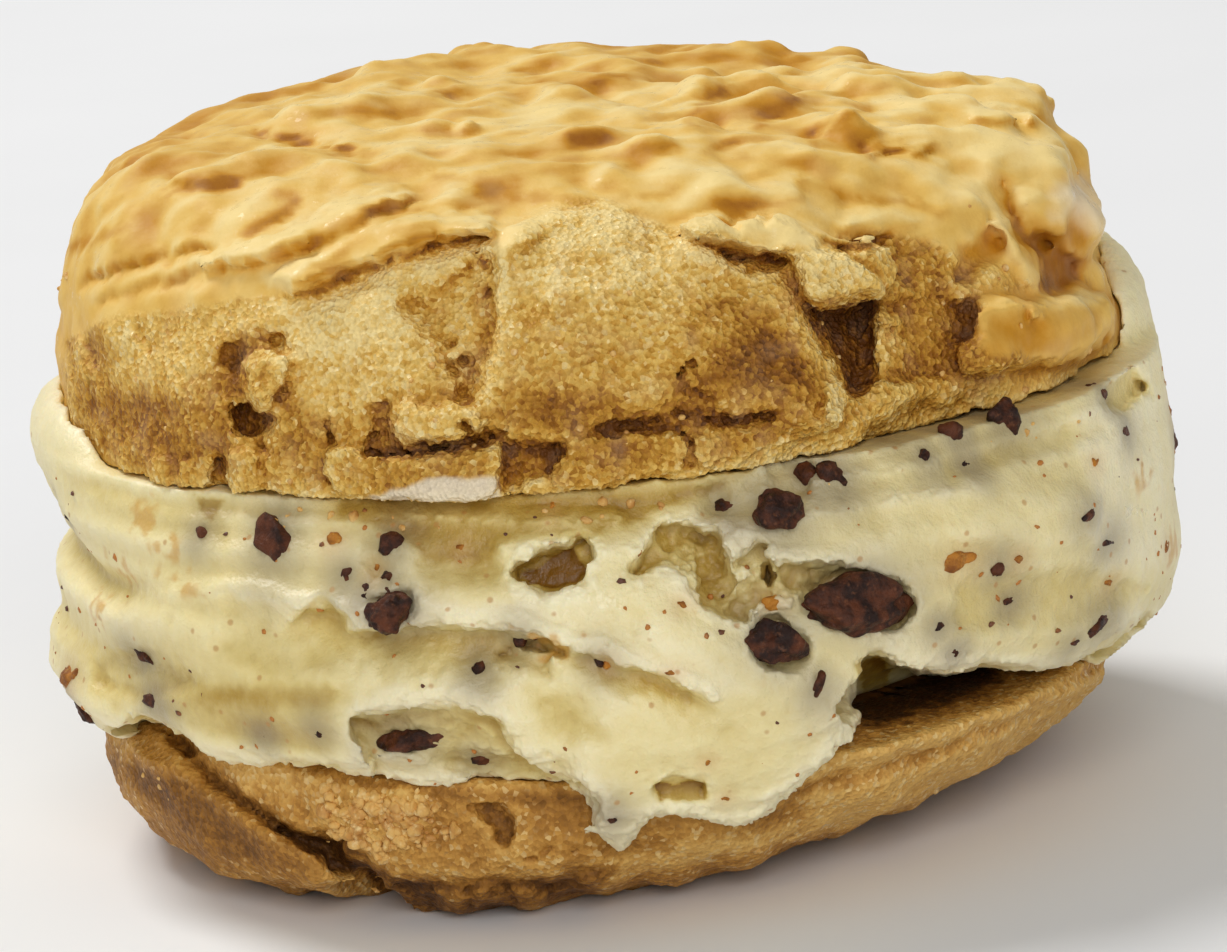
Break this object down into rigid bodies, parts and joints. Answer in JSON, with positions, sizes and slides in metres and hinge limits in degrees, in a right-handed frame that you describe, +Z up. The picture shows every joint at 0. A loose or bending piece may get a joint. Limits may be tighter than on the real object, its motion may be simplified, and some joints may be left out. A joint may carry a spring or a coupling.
{
  "type": "ice cream sandwich",
  "caption": "Ice cream sandwich: a thick slab of chocolate chip ice cream bulging out between fork-marked peanut butter cookies, the upper one cracked and crumbly at the front.",
  "frame": {"origin": "centre of the plain flat spot in the middle of the underside, at z = 0, the level the sandwich rests on", "axes": "+Z up through the layers; -Y towards the broken front seen in the picture; +X to the right as seen from the front"},
  "size_m": [0.0846, 0.085, 0.0539],
  "materials": {
    "baked_cookie": "matte, sugary and crumbly",
    "ice_cream": "soft, slightly wet",
    "chocolate": "satin, rough broken faces"
  },
  "bodies": {
    "root": {"bottom_cookie": "baked_cookie", "ice_cream": "ice_cream", "top_cookie": "baked_cookie", "chunk_large": "chocolate", "chunk_upper": "chocolate", "chunk_middle": "chocolate", "chunk_left": "chocolate", "chunk_low": "chocolate"}
  },
  "joints": []
}
